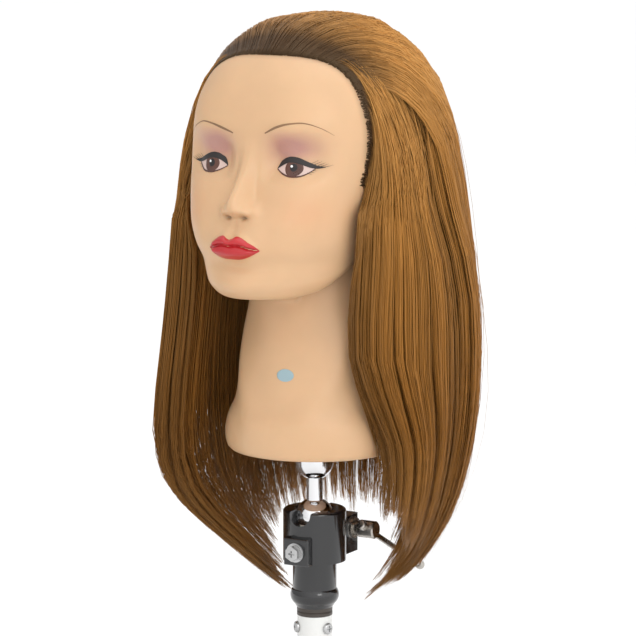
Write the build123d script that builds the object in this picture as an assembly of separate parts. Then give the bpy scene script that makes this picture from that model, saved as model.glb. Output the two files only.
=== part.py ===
"""Mannequin training head on a split-barrel ball-joint holder with a T-bar lock screw.

Frame: millimetres, +Z up, origin on the post's axis at its lower end. The face looks along -Y.
"""
from build123d import *
import os
from math import cos, radians, sin

# ---------------------------------------------------------------- driving dimensions
POST_R = 12.5            # free lower end of the stand's top tube
POST_HEAD_R = 12.8       # the tube's upper end, round the sleeve's plug
POST_HEAD_BOTTOM = 72.0
RELIEF_R = 12.1          # groove between the two
RELIEF_BOTTOM = 70.0
POST_WALL = 1.5
POST_TOP = 90.0
TUBE_SCREW_Z = 81.0      # three screws that hold the sleeve in the tube
TUBE_SCREW_ANGLES = (-45.0, 75.0, 195.0)  # seen from above, from -Y towards +X

RING_R = 13.0
RING_TOP = 96.0
SLEEVE_R = 16.0
BULGE_R = 17.8
BULGE_Z = 104.5

BARREL_R = 23.0
BARREL_BOTTOM = 131.0
RIM_Z = 169.0
BORE_R = 14.6            # lower bore of the barrel, round the sleeve's spigot
SPIGOT_R = 14.5
SPIGOT_TOP = 144.5

BALL_Z = 162.0
BALL_R = 14.5
RUN = 0.05               # running clearance of the turning pairs
STEM_R = 6.0
MAX_BOW = 75.0           # forward tilt that the notch lets through, degrees
NOTCH_R = 8.5

LUG_HALF_W = 13.0
LUG_BACK = 43.0
LUG_TOP = 159.0
SLIT = 3.0
SCREW_Y = 31.0
SCREW_Z = 150.0
SCREW_R = 4.0
HUB_X = 27.0             # middle of the screw's hub, clear of the barrel's side
HUB_R = 6.5
HUB_HALF = 7.0
BAR_R = 2.2
BAR_LENGTH = 94.0
BAR_DROP = 28.0          # how far the bar slopes down to the rear at rest, degrees
CAP_R = 3.5
CAP_LENGTH = 6.0

PAD_HALF = 10.0
PAD_Y = -28.0
BOLT_Z = 141.0

COLLAR_BOTTOM = 192.0
COLLAR_R = 14.0
COLLAR_TOP = 214.7
BASE_Z = 215.0           # underside of the neck, on the collar's top
PEG_TOP = 290.0
SLEEVE_BORE_R = 6.27
PEG_SLEEVE_R = 7.5
PEG_SLEEVE_TOP = 285.0
SOCKET_BORE_R = 7.58
SOCKET_OUTER_R = 10.5
SOCKET_TOP = 296.0
PLATE_BOTTOM = 217.0
PLATE_THICK = 4.0
PLATE_R = 56.0
FLANGE_R = 24.0
FLANGE_THICK = 3.5
PLATE_SCREW_CIRCLE_R = 17.5
PLATE_SCREW_HEAD_R = 3.2

SKIN = 5.0               # wall of the vinyl skin
HAIR_MAT = 12.0          # depth of the hanging hair
HAIR_GAP = 0.5           # between scalp and hair

# Head and neck: height, half width, front, back (Y), depth of the widest line, narrowness of the front
HEAD = (
    (215.0, 61.0, -61.0, 61.0, 0.0, 1.0),
    (219.0, 64.0, -64.0, 64.0, 0.0, 1.0),
    (233.0, 64.0, -64.0, 64.0, 0.0, 1.0),
    (241.0, 62.0, -62.0, 62.0, 0.0, 1.0),
    (250.0, 58.0, -58.0, 59.0, 0.0, 1.0),
    (265.0, 55.5, -56.0, 57.0, 0.5, 1.0),
    (290.0, 51.0, -51.5, 56.0, 2.0, 1.0),
    (312.0, 49.5, -47.5, 57.0, 5.0, 1.0),
    (324.0, 49.5, -48.5, 59.0, 6.0, 1.02),
    (331.0, 50.0, -56.0, 61.0, 6.0, 1.15),
    (335.5, 50.5, -76.0, 62.5, 5.0, 1.45),
    (340.0, 51.0, -96.0, 64.0, 3.0, 1.75),
    (347.0, 52.0, -111.0, 66.0, 0.0, 1.75),
    (358.0, 54.0, -112.0, 70.0, -5.0, 1.4),
    (374.0, 59.0, -110.5, 77.0, -12.0, 1.05),
    (392.0, 65.0, -105.0, 84.0, -14.0, 0.85),
    (410.0, 69.0, -98.0, 90.0, -11.0, 0.75),
    (430.0, 71.0, -91.5, 95.0, -6.0, 0.75),
    (453.0, 71.0, -91.0, 97.0, -2.0, 0.8),
    (475.0, 70.0, -85.5, 95.0, 2.0, 0.85),
    (494.0, 63.0, -71.0, 87.0, 7.0, 0.9),
    (507.0, 50.0, -50.0, 72.0, 10.0, 0.95),
    (516.0, 34.0, -26.0, 52.0, 12.0, 1.0),
    (520.5, 14.0, -3.0, 28.0, 13.0, 1.0),
)
# Outside of the hair: height, half width, half depth, middle (Y)
HAIR = (
    (110.0, 62.0, 58.0, 12.0),
    (130.0, 80.0, 74.0, 10.0),
    (155.0, 96.0, 88.0, 8.0),
    (185.0, 108.0, 99.0, 7.0),
    (230.0, 116.0, 107.0, 6.0),
    (280.0, 118.0, 110.0, 7.0),
    (340.0, 111.0, 106.0, 9.0),
    (400.0, 102.0, 101.0, 10.0),
    (440.0, 95.0, 98.0, 9.0),
    (474.0, 85.0, 91.0, 7.0),
    (498.0, 71.0, 81.0, 7.0),
    (514.0, 55.0, 66.0, 8.0),
    (524.0, 36.0, 45.0, 10.0),
    (528.0, 16.0, 20.0, 12.0),
)
CROWN_BOTTOM = 440.0     # where the crown's hair ends and the hanging sides begin
BACK_FRONT_Y = 45.0      # the sides end and the back begins here
SIDE_FRONT_Y = -50.0     # front edge of the hanging sides
SIDE_ENDS_Z = 110.0
BACK_ENDS_Z = 137.0      # the back ends above the T-bar
HAIRLINE_TOP = 503.0
HAIRLINE_HALF_W = 61.0


def turned(*points):
    """A solid of revolution about Z from (radius, height) points of a closed outline."""
    outline = make_face(Polyline(*[(r, 0, z) for r, z in points], close=True))
    return revolve(outline, axis=Axis.Z)


def rod(start, end, radius):
    """A round bar between two points."""
    a, b = Vector(start), Vector(end)
    direction = b - a
    return Plane(origin=a, z_dir=direction) * Cylinder(
        radius, direction.length, align=(Align.CENTER, Align.CENTER, Align.MIN))


def around(angle, radius, z):
    """The point at an angle from -Y towards +X, seen from above."""
    return (radius * sin(radians(angle)), -radius * cos(radians(angle)), z)


# ---------------------------------------------------------------- the stand's top end
def post_tube():
    """Steel tube: plain lower end, a relief groove and the upper end with three screw holes."""
    bore = POST_R - POST_WALL
    tube = turned((bore, 0), (POST_R, 0), (POST_R, RELIEF_BOTTOM), (RELIEF_R, RELIEF_BOTTOM),
                  (RELIEF_R, POST_HEAD_BOTTOM), (POST_HEAD_R, POST_HEAD_BOTTOM), (POST_HEAD_R, POST_TOP),
                  (bore, POST_TOP))
    for angle in TUBE_SCREW_ANGLES:
        tube -= rod((0, 0, TUBE_SCREW_Z), around(angle, POST_HEAD_R + 2, TUBE_SCREW_Z), 2.0)
    return tube


def tube_screws():
    """Three pan-head screws through the tube into the sleeve's plug."""
    screws = []
    for angle in TUBE_SCREW_ANGLES:
        seat = around(angle, POST_HEAD_R, TUBE_SCREW_Z)
        crown = around(angle, POST_HEAD_R + 2.4, TUBE_SCREW_Z)
        head = fillet(rod(seat, crown, 4.2).edges().filter_by(GeomType.CIRCLE).sort_by_distance(crown)[0], 1.6)
        plane = Plane(origin=crown, z_dir=Vector(seat) - Vector(crown))
        head -= plane * Box(4.4, 0.9, 2.0) + plane * Box(0.9, 4.4, 2.0)
        screws.append(head + rod(around(angle, 6.0, TUBE_SCREW_Z), seat, 1.95))
    return Compound(children=screws)


def post_ring():
    """Dark plastic ring between the tube and the sleeve."""
    return turned((9.1, POST_TOP), (RING_R, POST_TOP), (RING_R, POST_TOP + 2.2), (RING_R - 0.5, POST_TOP + 2.8),
                  (RING_R, POST_TOP + 3.4), (RING_R, RING_TOP), (9.1, RING_TOP))


def post_sleeve():
    """Black sleeve: plug in the tube, bulged foot, plain barrel and the spigot that the holder turns on."""
    profile = make_face([
        Polyline((5, 0, 60), (10.9, 0, 60), (10.9, 0, POST_TOP), (9, 0, POST_TOP), (9, 0, RING_TOP),
                 (13.2, 0, RING_TOP), (15.2, 0, RING_TOP + 3)),
        ThreePointArc((15.2, 0, RING_TOP + 3), (BULGE_R, 0, BULGE_Z), (SLEEVE_R, 0, BULGE_Z + 5.5)),
        Polyline((SLEEVE_R, 0, BULGE_Z + 5.5), (SLEEVE_R, 0, BARREL_BOTTOM - 0.1),
                 (SPIGOT_R, 0, BARREL_BOTTOM - 0.1), (SPIGOT_R, 0, SPIGOT_TOP), (5, 0, SPIGOT_TOP), (5, 0, 60)),
    ])
    sleeve = revolve(profile, axis=Axis.Z)
    for angle in TUBE_SCREW_ANGLES:
        sleeve -= rod(around(angle, 5.9, TUBE_SCREW_Z), around(angle, 12, TUBE_SCREW_Z), 1.97)
    return sleeve


# ---------------------------------------------------------------- the ball socket
def notch():
    """The room that the stem needs in the rim when the head bows forward."""
    lean = Plane(origin=(0, 0, BALL_Z), z_dir=(0, -sin(radians(MAX_BOW)), cos(radians(MAX_BOW))), x_dir=(1, 0, 0))
    lane = lean * Pos(0, 0, 20) * Cylinder(NOTCH_R, 40)
    above = lean * Pos(0, 12, 20) * Box(2 * NOTCH_R, 24, 40)
    other = lean * Pos(0, -12, 20) * Box(2 * NOTCH_R, 24, 40)
    high = above if above.center().Z > other.center().Z else other
    return lane + high


def socket_barrel():
    """Split black barrel round the ball, with the front bolt pad and the rear clamp ears."""
    barrel = Pos(0, 0, (BARREL_BOTTOM + RIM_Z) / 2) * Cylinder(BARREL_R, RIM_Z - BARREL_BOTTOM)
    barrel = fillet(barrel.edges().group_by(Axis.Z)[-1], 2.0)
    lug = Pos(0, LUG_BACK / 2 + 9, (BARREL_BOTTOM + LUG_TOP) / 2) * Box(
        2 * LUG_HALF_W, LUG_BACK - 18, LUG_TOP - BARREL_BOTTOM)
    lug = fillet(lug.edges().filter_by(Axis.Z).group_by(Axis.Y)[-1], 3.0)
    pad = Pos(0, (PAD_Y - 15) / 2, BOLT_Z) * Box(2 * PAD_HALF, -15 - PAD_Y, 2 * PAD_HALF)
    pad = fillet(pad.edges().group_by(Axis.Y)[0], 1.5)
    body = barrel + lug + pad
    body -= Pos(0, 0, (BARREL_BOTTOM + BALL_Z) / 2) * Cylinder(BORE_R, BALL_Z - BARREL_BOTTOM)
    body -= Pos(0, 0, BALL_Z) * Sphere(BALL_R + RUN)
    body -= turned((0, RIM_Z - 1.6), (12.9, RIM_Z - 1.6), (14.6, RIM_Z + 0.1), (0, RIM_Z + 0.1))
    body -= notch()
    body -= Pos(0, 30, 150) * Box(SLIT, 40, 60)
    body -= rod((-30, SCREW_Y, SCREW_Z), (30, SCREW_Y, SCREW_Z), SCREW_R + 0.1)
    body -= Plane(origin=(-LUG_HALF_W + 5, SCREW_Y, SCREW_Z), z_dir=(-1, 0, 0)) * extrude(
        RegularPolygon(7.6, 6), 10)
    body -= rod((0, PAD_Y - 1, BOLT_Z), (0, 0, BOLT_Z), 3.0)
    return body


def ball_seat():
    """Nylon cup that the ball turns on."""
    cup = Pos(0, 0, 152.5) * Cylinder(SPIGOT_R, 11) - Pos(0, 0, BALL_Z) * Sphere(BALL_R + RUN)
    return cup - Pos(0, 0, 150) * Cylinder(4, 20)


def seat_spring():
    """Cone spring washer that presses the cup up against the ball."""
    low, high = SPIGOT_TOP + 0.1, 147.0
    return turned((13.6, low), (13.6, low + 0.8), (7.0, high), (6.5, high - 0.8))


def pan_bolt():
    """Flanged hex bolt that stops the holder turning on its spigot."""
    face = Plane(origin=(0, PAD_Y - 1.0, BOLT_Z), z_dir=(0, -1, 0))
    bolt = face * Pos(0, 0, 0.6) * Cylinder(6.0, 1.2)
    bolt += face * Pos(0, 0, 1.2) * extrude(RegularPolygon(5.6, 6), 3.6)
    bolt -= face * Pos(0, 0, 4.4) * (Box(5.0, 1.1, 2.4) + Box(1.1, 5.0, 2.4))
    return bolt + rod((0, PAD_Y - 1.0, BOLT_Z), (0, -BORE_R, BOLT_Z), 2.98)


def pan_washer():
    """Plain washer under the front bolt."""
    face = Plane(origin=(0, PAD_Y - 0.5, BOLT_Z), z_dir=(0, -1, 0))
    return face * (Cylinder(7.0, 1.0) - Cylinder(3.1, 1.0))


def clamp_nut():
    """Hex nut let into the far ear."""
    seat = Plane(origin=(-LUG_HALF_W + 5, SCREW_Y, SCREW_Z), z_dir=(-1, 0, 0))
    return seat * extrude(RegularPolygon(7.5, 6), 6.5) - rod(
        (-30, SCREW_Y, SCREW_Z), (0, SCREW_Y, SCREW_Z), SCREW_R + RUN)


# ---------------------------------------------------------------- the T-bar lock
def bar_direction():
    """Along the T-bar, from the hub down to the rear."""
    return Vector(0, cos(radians(BAR_DROP)), -sin(radians(BAR_DROP)))


def on_bar(distance):
    """A point on the T-bar's axis, this far from the hub's middle."""
    return Vector(HUB_X, SCREW_Y, SCREW_Z) + bar_direction() * distance


def lock_washer():
    """Washer between the near ear and the lock screw's shoulder."""
    return Pos(LUG_HALF_W + 0.8, SCREW_Y, SCREW_Z) * Rot(0, 90, 0) * (
        Cylinder(8.0, 1.5) - Cylinder(SCREW_R + RUN, 1.5))


def lock_screw():
    """Clamp screw with a shoulder and a cross-bored hub for the T-bar."""
    start = LUG_HALF_W + 1.6
    screw = rod((-LUG_HALF_W - 2.5, SCREW_Y, SCREW_Z), (start, SCREW_Y, SCREW_Z), SCREW_R)
    screw += rod((start, SCREW_Y, SCREW_Z), (start + 2.2, SCREW_Y, SCREW_Z), 7.5)
    screw += rod((start + 2.2, SCREW_Y, SCREW_Z), (HUB_X - HUB_HALF, SCREW_Y, SCREW_Z), 5.2)
    hub = rod((HUB_X - HUB_HALF, SCREW_Y, SCREW_Z), (HUB_X + HUB_HALF, SCREW_Y, SCREW_Z), HUB_R)
    hub = chamfer(hub.edges().filter_by(GeomType.CIRCLE), 1.0)
    return screw + hub - rod(on_bar(-20), on_bar(20), BAR_R + 2 * RUN)


def tommy_bar():
    """Plain steel bar that slides through the hub."""
    upper = -HUB_R - 0.05
    return rod(on_bar(upper - 4), on_bar(upper + BAR_LENGTH + 4), BAR_R)


def bar_cap(inner, side):
    """Rounded end cap pressed on the T-bar: side is +1 at the lower end and -1 at the upper end."""
    cap = rod(on_bar(inner), on_bar(inner + side * CAP_LENGTH), CAP_R)
    cap = fillet(cap.edges().filter_by(GeomType.CIRCLE), 1.2)
    return cap - rod(on_bar(inner - side), on_bar(inner + side * 4), BAR_R)


# ---------------------------------------------------------------- ball, stem and peg
def swivel_ball():
    """Chromed ball."""
    return Pos(0, 0, BALL_Z) * Sphere(BALL_R)


def ball_stem():
    """Stem on the ball that runs up through the collar and ends as the head's peg."""
    stem = turned((0, BALL_Z), (STEM_R, BALL_Z), (STEM_R, COLLAR_TOP), (6.2, COLLAR_TOP), (6.2, 262),
                  (5.7, PEG_TOP - 2), (4.2, PEG_TOP), (0, PEG_TOP))
    return stem - Pos(0, 0, BALL_Z) * Sphere(BALL_R + RUN)


def stem_collar():
    """Bell-shaped collar that carries the neck's underside."""
    profile = make_face([
        Line((STEM_R, 0, COLLAR_BOTTOM), (7.2, 0, COLLAR_BOTTOM)),
        ThreePointArc((7.2, 0, COLLAR_BOTTOM), (12.2, 0, COLLAR_BOTTOM + 5.2), (COLLAR_R, 0, COLLAR_BOTTOM + 12)),
        Polyline((COLLAR_R, 0, COLLAR_BOTTOM + 12), (COLLAR_R, 0, COLLAR_TOP), (STEM_R, 0, COLLAR_TOP),
                 (STEM_R, 0, COLLAR_BOTTOM)),
    ])
    return revolve(profile, axis=Axis.Z)


def peg_sleeve():
    """Nylon sleeve that lets the head turn on the steel peg."""
    return turned((SLEEVE_BORE_R, BASE_Z + 0.3), (PEG_SLEEVE_R, BASE_Z + 0.3), (PEG_SLEEVE_R, PEG_SLEEVE_TOP - 1),
                  (PEG_SLEEVE_R - 0.5, PEG_SLEEVE_TOP), (SLEEVE_BORE_R, PEG_SLEEVE_TOP))


# ---------------------------------------------------------------- the head
def ring(z, half_w, front, back, widest, narrow=1.0):
    """A smooth closed section: half_w wide each side, from front to back in Y."""
    points = []
    for step in range(24):
        side, along = sin(radians(step * 15)), cos(radians(step * 15))
        power = narrow if along > 0 else 0.95
        reach = (widest - front) if along > 0 else (back - widest)
        points.append((half_w * abs(side) ** power * (1 if side >= 0 else -1), widest - reach * along, z))
    return make_face(Spline(*points, periodic=True))


def lofted(rows, inset=0.0, drop=0.0):
    """A loft through the rows' rings, each drawn in by inset and lowered by drop."""
    return loft([ring(z - drop, w - inset, f + inset, b - inset, *rest)
                 for z, w, f, b, *rest in rows if w - inset > 8])


def nose_and_lips():
    """Plain forms of the nose and the lips, which stand proud of the face."""
    bridge = Pos(0, -90, 421) * scale(Sphere(1), (8, 13, 26))
    tip = Pos(0, -101, 403) * scale(Sphere(1), (12, 13.5, 10))
    lips = Pos(0, -108.5, 373) * scale(Sphere(1), (20, 8, 8))
    return bridge + tip + lips


def head_skin():
    """Hollow vinyl skin of head and neck, open underneath."""
    inside = lofted(HEAD[4:], SKIN, 1.5)
    room = Pos(0, 0, 231.5) * Cylinder(PLATE_R + 0.1, 34)
    return lofted(HEAD) + nose_and_lips() - inside - room


def base_plate():
    """Plastic plate that closes the neck, with four screw holes and the socket's hole."""
    plate = Pos(0, 0, PLATE_BOTTOM + PLATE_THICK / 2) * (
        Cylinder(PLATE_R, PLATE_THICK) - Cylinder(SOCKET_OUTER_R + 0.1, PLATE_THICK))
    for x, y in screw_places():
        plate -= Pos(x, y, PLATE_BOTTOM + 2) * Cylinder(1.6, 6)
        plate -= Pos(x, y, PLATE_BOTTOM + 0.9) * Cylinder(PLATE_SCREW_HEAD_R + 0.1, 1.8)
    return plate


def screw_places():
    """Where the four screws of the base plate are."""
    return [(PLATE_SCREW_CIRCLE_R * cos(radians(a)), PLATE_SCREW_CIRCLE_R * sin(radians(a)))
            for a in (45, 135, 225, 315)]


def plate_screws():
    """Four countersunk-style screws that hold the plate to the socket's flange."""
    screws = []
    for x, y in screw_places():
        head = Pos(x, y, PLATE_BOTTOM + 0.9) * Cylinder(PLATE_SCREW_HEAD_R, 1.8)
        head -= Pos(x, y, PLATE_BOTTOM) * (Box(3.6, 0.8, 1.6) + Box(0.8, 3.6, 1.6))
        screws.append(head + Pos(x, y, PLATE_BOTTOM + 4.2) * Cylinder(1.5, 5.0))
    return Compound(children=screws)


def neck_socket():
    """Blind tube in the neck that drops over the peg, with a flange on the plate."""
    top = PLATE_BOTTOM + PLATE_THICK
    tube = turned((SOCKET_BORE_R, BASE_Z + 0.3), (SOCKET_OUTER_R, BASE_Z + 0.3), (SOCKET_OUTER_R, top),
                  (FLANGE_R, top), (FLANGE_R, top + FLANGE_THICK), (SOCKET_OUTER_R + 3, top + FLANGE_THICK),
                  (SOCKET_OUTER_R, top + FLANGE_THICK + 6), (SOCKET_OUTER_R, SOCKET_TOP), (0, SOCKET_TOP),
                  (0, SOCKET_TOP - 4), (SOCKET_BORE_R, SOCKET_TOP - 4))
    for x, y in screw_places():
        tube -= Pos(x, y, top + 1) * Cylinder(1.52, 3.5)
    return tube


# ---------------------------------------------------------------- the hair
def hair_outside(inset=0.0):
    """The hair's outer form, or a smaller one inside it."""
    return lofted([(z, w, m - d, m + d, m) for z, w, d, m in HAIR], inset)


def face_opening():
    """What the hairline leaves free in front: an arch over the forehead and the space before the hanging sides."""
    z_side = 440.0
    arch = make_face([
        Polyline((-HAIRLINE_HALF_W, 0, z_side), (-HAIRLINE_HALF_W, 0, 100), (HAIRLINE_HALF_W, 0, 100),
                 (HAIRLINE_HALF_W, 0, z_side)),
        Spline((HAIRLINE_HALF_W, 0, z_side), (50, 0, 478), (0, 0, HAIRLINE_TOP), (-50, 0, 478),
               (-HAIRLINE_HALF_W, 0, z_side)),
    ])
    window = Pos(0, -28, 0) * extrude(arch, 120, dir=(0, -1, 0))
    return window + Pos(0, SIDE_FRONT_Y - 60, 270) * Box(300, 120, 340)


def hair_mat():
    """All the hair as one closed mat over the scalp and down the sides and back."""
    scalp = lofted(HEAD[11:], -HAIR_GAP, -HAIR_GAP)
    return hair_outside() - hair_outside(HAIR_MAT) - scalp - face_opening()


def block(x0, x1, y0, y1, z0, z1):
    """A box from its limits."""
    return Pos((x0 + x1) / 2, (y0 + y1) / 2, (z0 + z1) / 2) * Box(x1 - x0, y1 - y0, z1 - z0)


def largest(shape):
    """The biggest solid of a shape."""
    return shape.solids().sort_by(SortBy.VOLUME)[-1]


def hair_parts():
    """The mat parted into crown, two sides and back."""
    mat = hair_mat()
    far, low = 200, 0
    return {
        "hair_crown": largest(mat & block(-far, far, -far, far, CROWN_BOTTOM, 600)),
        "hair_back": largest(mat & block(-far, far, BACK_FRONT_Y, far, BACK_ENDS_Z, CROWN_BOTTOM)),
        "hair_left": largest(mat & block(low, far, -far, BACK_FRONT_Y, SIDE_ENDS_Z, CROWN_BOTTOM)),
        "hair_right": largest(mat & block(-far, -low, -far, BACK_FRONT_Y, SIDE_ENDS_Z, CROWN_BOTTOM)),
    }


def all_parts():
    """Every node of the model."""
    upper = -HUB_R - 0.05
    parts = {
        "post_tube": post_tube(), "tube_screws": tube_screws(), "post_ring": post_ring(),
        "post_sleeve": post_sleeve(), "socket_barrel": socket_barrel(), "ball_seat": ball_seat(),
        "seat_spring": seat_spring(), "pan_bolt": pan_bolt(), "pan_washer": pan_washer(),
        "clamp_nut": clamp_nut(), "lock_washer": lock_washer(), "lock_screw": lock_screw(),
        "tommy_bar": tommy_bar(), "bar_cap_upper": bar_cap(upper, -1),
        "bar_cap_lower": bar_cap(upper + BAR_LENGTH, 1), "swivel_ball": swivel_ball(),
        "ball_stem": ball_stem(), "stem_collar": stem_collar(), "peg_sleeve": peg_sleeve(),
        "neck_socket": neck_socket(), "base_plate": base_plate(), "plate_screws": plate_screws(),
        "head_skin": head_skin(),
    }
    parts.update(hair_parts())
    return parts


os.makedirs("parts", exist_ok=True)
for node, shape in all_parts().items():
    export_step(shape, f"parts/{node}.step")
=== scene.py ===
"""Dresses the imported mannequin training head: vinyl skin, painted face, long hair and the holder's finishes.

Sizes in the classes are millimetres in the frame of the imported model: +Z up, the face towards -Y.
"""
import logging
import math
from dataclasses import dataclass
from enum import Enum

import bpy
import numpy as np
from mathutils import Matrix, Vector
from mathutils.bvhtree import BVHTree


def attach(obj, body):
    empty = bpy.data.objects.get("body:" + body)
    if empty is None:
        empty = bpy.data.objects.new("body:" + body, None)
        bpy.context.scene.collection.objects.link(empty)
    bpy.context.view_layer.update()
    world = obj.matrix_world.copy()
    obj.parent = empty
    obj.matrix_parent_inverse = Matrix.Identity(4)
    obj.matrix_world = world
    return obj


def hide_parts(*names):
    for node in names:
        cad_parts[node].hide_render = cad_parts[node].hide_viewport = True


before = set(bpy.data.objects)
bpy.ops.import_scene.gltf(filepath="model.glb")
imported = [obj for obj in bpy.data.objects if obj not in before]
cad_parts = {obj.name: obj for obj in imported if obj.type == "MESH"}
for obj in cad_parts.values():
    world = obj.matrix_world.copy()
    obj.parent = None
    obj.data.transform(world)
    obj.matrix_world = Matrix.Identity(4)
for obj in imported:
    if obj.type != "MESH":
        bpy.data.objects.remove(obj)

LOG = logging.getLogger("training_head")
MM = 0.001
SEED = 20


# ---------------------------------------------------------------- small maths

def smoothstep(low: float, high: float, x: np.ndarray) -> np.ndarray:
    """Returns a soft step of x from 0 at low to 1 at high."""
    t = np.clip((x - low) / (high - low), 0.0, 1.0)
    return t * t * (3.0 - 2.0 * t)


def hill(x: np.ndarray, z: np.ndarray, cx: float, cz: float, sx: float, sz: float) -> np.ndarray:
    """Returns a bell of height 1 about (cx, cz), with widths sx and sz."""
    return np.exp(-((x - cx) / sx) ** 2 - ((z - cz) / sz) ** 2)


def twin_hill(x: np.ndarray, z: np.ndarray, cx: float, cz: float, sx: float, sz: float) -> np.ndarray:
    """Returns the same bell on both sides of the face."""
    return hill(np.abs(x), z, cx, cz, sx, sz)


def through(points: tuple, x: np.ndarray) -> np.ndarray:
    """Evaluates a smooth curve through given points.

    Args:
        points: pairs of (place, value), in rising order of place.
        x: the places to evaluate.

    Returns:
        The curve's values, held level outside the points.
    """
    xs = np.array([p[0] for p in points], float)
    ys = np.array([p[1] for p in points], float)
    slopes = np.gradient(ys, xs)
    x = np.clip(x, xs[0], xs[-1])
    i = np.clip(np.searchsorted(xs, x, side="right") - 1, 0, len(xs) - 2)
    h = xs[i + 1] - xs[i]
    t = (x - xs[i]) / h
    a = (2 * t ** 3 - 3 * t ** 2 + 1) * ys[i] + (t ** 3 - 2 * t ** 2 + t) * h * slopes[i]
    b = (3 * t ** 2 - 2 * t ** 3) * ys[i + 1] + (t ** 3 - t ** 2) * h * slopes[i + 1]
    return a + b


def soft_max(a: np.ndarray, b: np.ndarray, width: float) -> np.ndarray:
    """Returns the larger of a and b with the crossing rounded over width."""
    h = np.clip(0.5 + 0.5 * (a - b) / width, 0.0, 1.0)
    return b + (a - b) * h + width * h * (1.0 - h) * 0.5


# ---------------------------------------------------------------- meshes

def grid_mesh(name: str, points: np.ndarray, wrap: bool, caps: bool = False) -> bpy.types.Object:
    """Builds a mesh from a grid of points.

    Args:
        name: the object's name.
        points: an array of rows by columns by 3, in millimetres.
        wrap: whether the last column joins the first.
        caps: whether the first and last rows are closed with one face each.

    Returns:
        The new object, smooth shaded and linked to the scene.
    """
    rows, columns = points.shape[:2]
    index = np.arange(rows * columns).reshape(rows, columns)
    right = np.roll(index, -1, axis=1) if wrap else index[:, 1:]
    left = index if wrap else index[:, :-1]
    quads = np.stack([left[:-1], right[:-1], right[1:], left[1:]], axis=-1).reshape(-1, 4)
    faces = quads.tolist()
    if caps:
        faces.append(index[0][::-1].tolist())
        faces.append(index[-1].tolist())
    mesh = bpy.data.meshes.new(name)
    mesh.from_pydata((points.reshape(-1, 3) * MM).tolist(), [], faces)
    mesh.polygons.foreach_set("use_smooth", [True] * len(mesh.polygons))
    mesh.update()
    obj = bpy.data.objects.new(name, mesh)
    bpy.context.scene.collection.objects.link(obj)
    return obj


def tube_mesh(name: str, paths: np.ndarray, radii: np.ndarray, sides: int = 3) -> bpy.types.Object:
    """Builds many closed tubes as one mesh.

    Args:
        name: the object's name.
        paths: an array of strands by points by 3, in millimetres.
        radii: an array of strands by points, in millimetres.
        sides: how many sides each tube has.

    Returns:
        The new object, smooth shaded and linked to the scene.
    """
    count, steps = paths.shape[:2]
    along = np.gradient(paths, axis=1)
    along /= np.linalg.norm(along, axis=2, keepdims=True) + 1e-9
    outward = paths - paths.mean(axis=0, keepdims=True) * [0, 0, 1] - np.array([0.0, 8.0, 0.0])
    outward[..., 2] = 0.2
    side = np.cross(along, outward)
    side /= np.linalg.norm(side, axis=2, keepdims=True) + 1e-9
    up = np.cross(side, along)
    turns = np.arange(sides) * 2 * math.pi / sides
    spokes = side[:, :, None] * np.cos(turns)[:, None] + up[:, :, None] * np.sin(turns)[:, None]
    verts = (paths[:, :, None] + spokes * radii[:, :, None, None]) * MM
    index = np.arange(count * steps * sides).reshape(count, steps, sides)
    turned = np.roll(index, -1, axis=2)
    quads = np.stack([index[:, :-1], turned[:, :-1], turned[:, 1:], index[:, 1:]], axis=-1).reshape(-1, 4)
    ends = np.concatenate([index[:, 0, ::-1], index[:, -1]])
    mesh = bpy.data.meshes.new(name)
    mesh.vertices.add(verts.size // 3)
    mesh.vertices.foreach_set("co", verts.ravel())
    mesh.loops.add(quads.size + ends.size)
    mesh.loops.foreach_set("vertex_index", np.concatenate([quads.ravel(), ends.ravel()]))
    mesh.polygons.add(len(quads) + len(ends))
    starts = np.concatenate([np.arange(len(quads)) * 4, quads.size + np.arange(len(ends)) * sides])
    mesh.polygons.foreach_set("loop_start", starts)
    mesh.polygons.foreach_set("use_smooth", np.ones(len(starts), bool))
    mesh.update(calc_edges=True)
    mesh.validate()
    obj = bpy.data.objects.new(name, mesh)
    bpy.context.scene.collection.objects.link(obj)
    return obj


def paint(obj: bpy.types.Object, name: str, values: np.ndarray) -> None:
    """Stores one number per vertex under a name that a material can read."""
    layer = obj.data.attributes.new(name, "FLOAT", "POINT")
    layer.data.foreach_set("value", np.asarray(values, np.float32).ravel())


def dress(obj: bpy.types.Object, material: bpy.types.Material) -> None:
    """Gives a piece its one material."""
    obj.data.materials.clear()
    obj.data.materials.append(material)


# ---------------------------------------------------------------- shader helpers

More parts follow.
